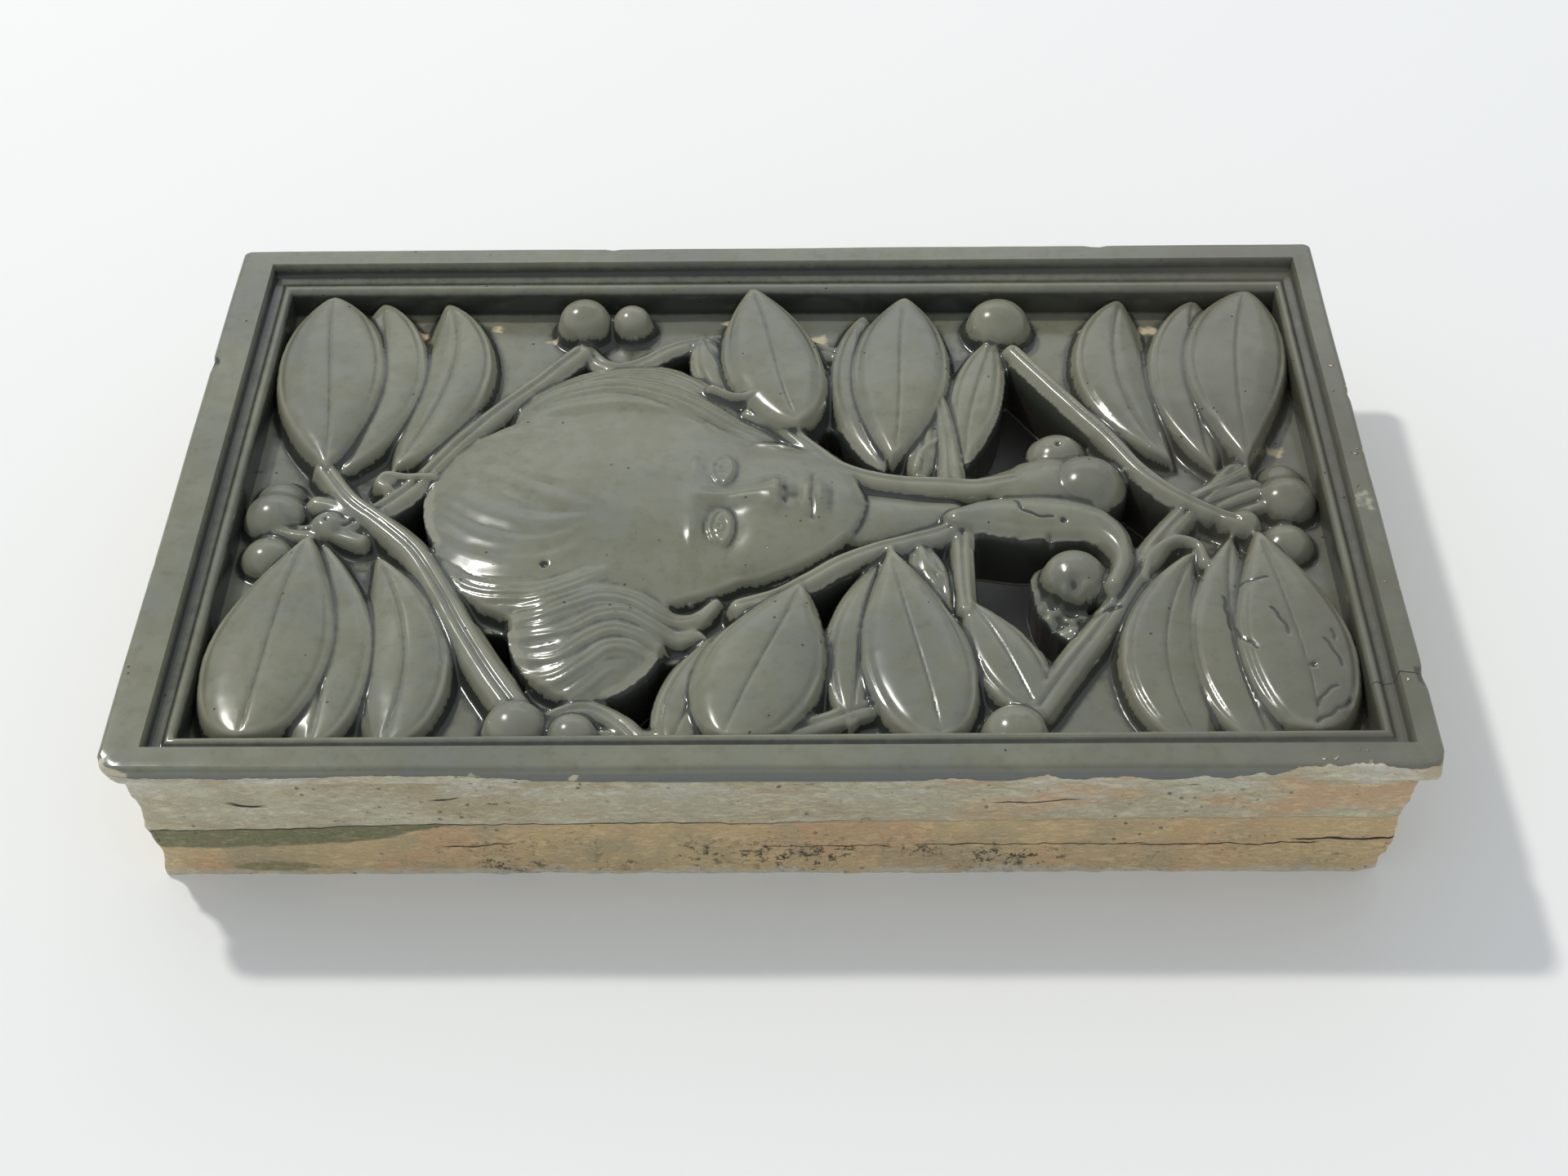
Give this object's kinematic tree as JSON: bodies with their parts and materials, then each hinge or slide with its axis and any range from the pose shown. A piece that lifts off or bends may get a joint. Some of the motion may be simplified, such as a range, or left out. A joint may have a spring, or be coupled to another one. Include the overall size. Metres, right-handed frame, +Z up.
{
  "type": "ceramic ventilation tile",
  "caption": "Hollow-backed glazed ceramic tile with a moulded frame and a pierced relief of a head, leaves, berries and stems that lets warm air through.",
  "frame": {"origin": "centre of the underside, the open rim of the hollow back", "axes": "+X along the tile's length, from the crown of the head to its chin; +Y across the tile; +Z up, out of the relief"},
  "size_m": [0.4, 0.25, 0.062],
  "materials": {
    "glazed_clay": "glossy grey-green glaze over buff fired clay"
  },
  "bodies": {
    "root": {"ventilation_tile": "glazed_clay"}
  },
  "joints": []
}
